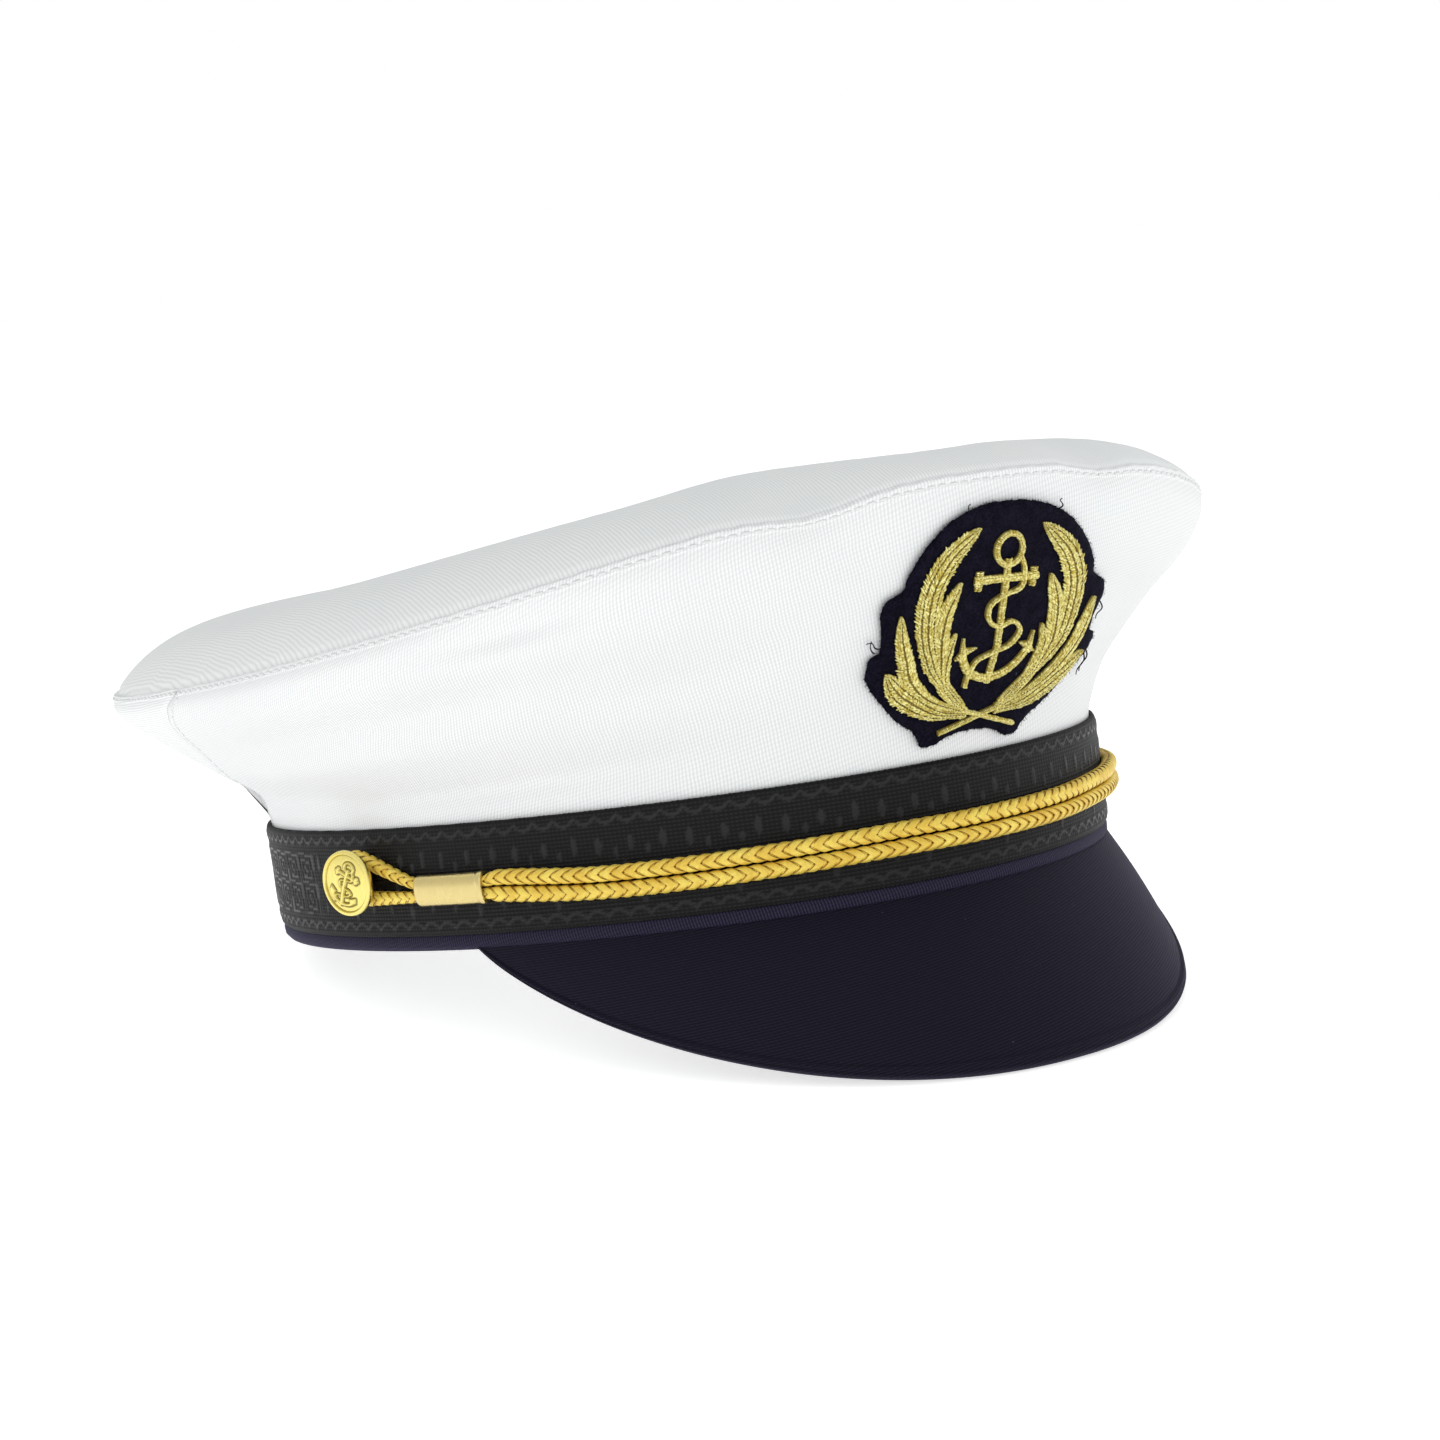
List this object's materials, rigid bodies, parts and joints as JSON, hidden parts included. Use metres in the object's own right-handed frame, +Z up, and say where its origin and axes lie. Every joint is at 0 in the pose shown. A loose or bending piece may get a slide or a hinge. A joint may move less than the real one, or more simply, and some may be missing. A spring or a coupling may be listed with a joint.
{
  "type": "captain hat",
  "caption": "Peaked captain hat: white cloth crown, black ribbon, navy peak, gold chin cord with brass sleeves and buttons, embroidered anchor badge.",
  "frame": {"origin": "bottom centre of the whole hat as it lies, on the surface that it rests on", "axes": "+Z up from the surface, -Y towards the front with the peak and the badge, +X towards the wearer's left"},
  "size_m": [0.2324, 0.2708, 0.1155],
  "materials": {
    "white_twill": "matt fine twill",
    "black_ribbon": "ribbed jacquard with satin figures",
    "navy_twill": "matt twill",
    "gold_braid": "plaited yarn with a soft sheen",
    "brass": "satin to polished",
    "patch_cloth": "matt felt",
    "gold_thread": "metallic embroidery thread"
  },
  "bodies": {
    "root": {"base_band": "navy_twill", "ribbon": "black_ribbon", "crown_front": "white_twill", "crown_back": "white_twill", "crown_top": "white_twill", "peak": "navy_twill", "cord": "gold_braid", "badge_backing": "patch_cloth", "badge_wreath": "gold_thread", "badge_anchor": "gold_thread", "sleeve_right": "brass", "button_right": "brass", "sleeve_left": "brass", "button_left": "brass"}
  },
  "joints": []
}
